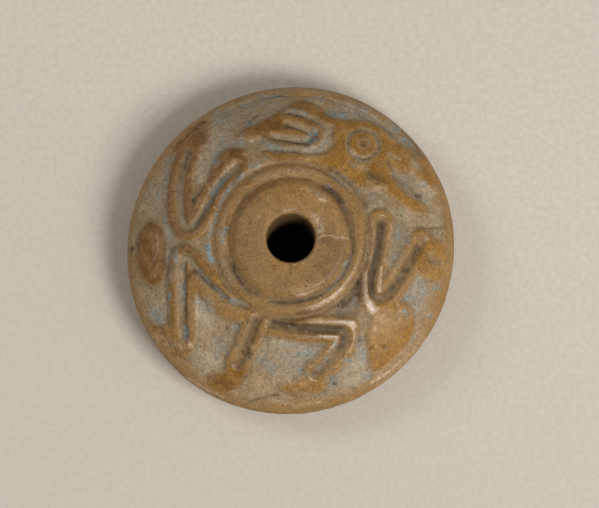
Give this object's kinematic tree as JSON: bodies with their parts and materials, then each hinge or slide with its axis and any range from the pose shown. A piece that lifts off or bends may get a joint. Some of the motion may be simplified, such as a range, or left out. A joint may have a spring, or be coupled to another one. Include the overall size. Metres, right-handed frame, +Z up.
{
  "type": "clay spindle whorl",
  "caption": "Round domed clay spindle whorl with a plain spindle hole in a raised boss, a ring between grooves, and a carved animal round its upper face.",
  "frame": {"origin": "middle of the flat underside, on the surface that the whorl lies on, on the axis of the spindle hole", "axes": "+Z up along the spindle hole, towards the carved face; +Y towards the far side of the pictured view, with the animal's head at +X +Y"},
  "size_m": [0.042, 0.042, 0.0137],
  "materials": {
    "fired_clay": "burnished buff-brown fired clay with ochre slip on the raised carving and worn blue-grey pigment in the lowered ground"
  },
  "bodies": {
    "root": {"whorl": "fired_clay"}
  },
  "joints": []
}
